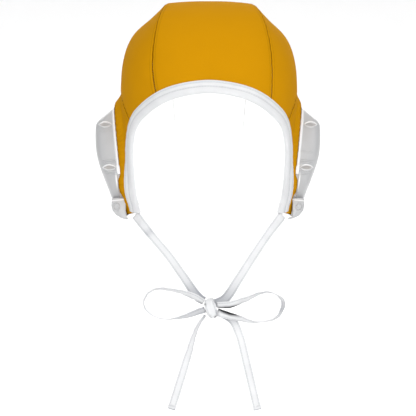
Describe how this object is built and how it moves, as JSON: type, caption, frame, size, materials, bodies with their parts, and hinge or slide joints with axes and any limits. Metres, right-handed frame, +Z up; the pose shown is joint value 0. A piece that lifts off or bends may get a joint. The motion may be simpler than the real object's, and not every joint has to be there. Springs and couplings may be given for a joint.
{
  "type": "water polo cap",
  "caption": "Close-fitting fabric cap with taped edges, a hollow slotted guard over each ear and tape ties that fasten in a bow under the chin.",
  "frame": {"origin": "inner top of the crown, where the wearer's head holds the cap", "axes": "+Z up, the face opening towards -Y, the wearer's left ear towards +X"},
  "size_m": [0.203, 0.1962, 0.3641],
  "materials": {
    "amber_fabric": "smooth matte knit",
    "white_tape": "matte ribbed tape",
    "guard_plastic": "satin white"
  },
  "bodies": {
    "root": {"centre_panel": "amber_fabric", "side_panel_left": "amber_fabric", "side_panel_right": "amber_fabric", "ear_panel_left": "amber_fabric", "ear_panel_right": "amber_fabric", "face_binding": "white_tape", "nape_binding": "white_tape", "ear_guard_left": "guard_plastic", "ear_guard_right": "guard_plastic", "tie_left_strap": "white_tape", "tie_left_loop": "white_tape", "tie_left_tail": "white_tape", "tie_right_strap": "white_tape", "tie_right_loop": "white_tape", "tie_right_tail": "white_tape", "bow_knot": "white_tape"}
  },
  "joints": []
}
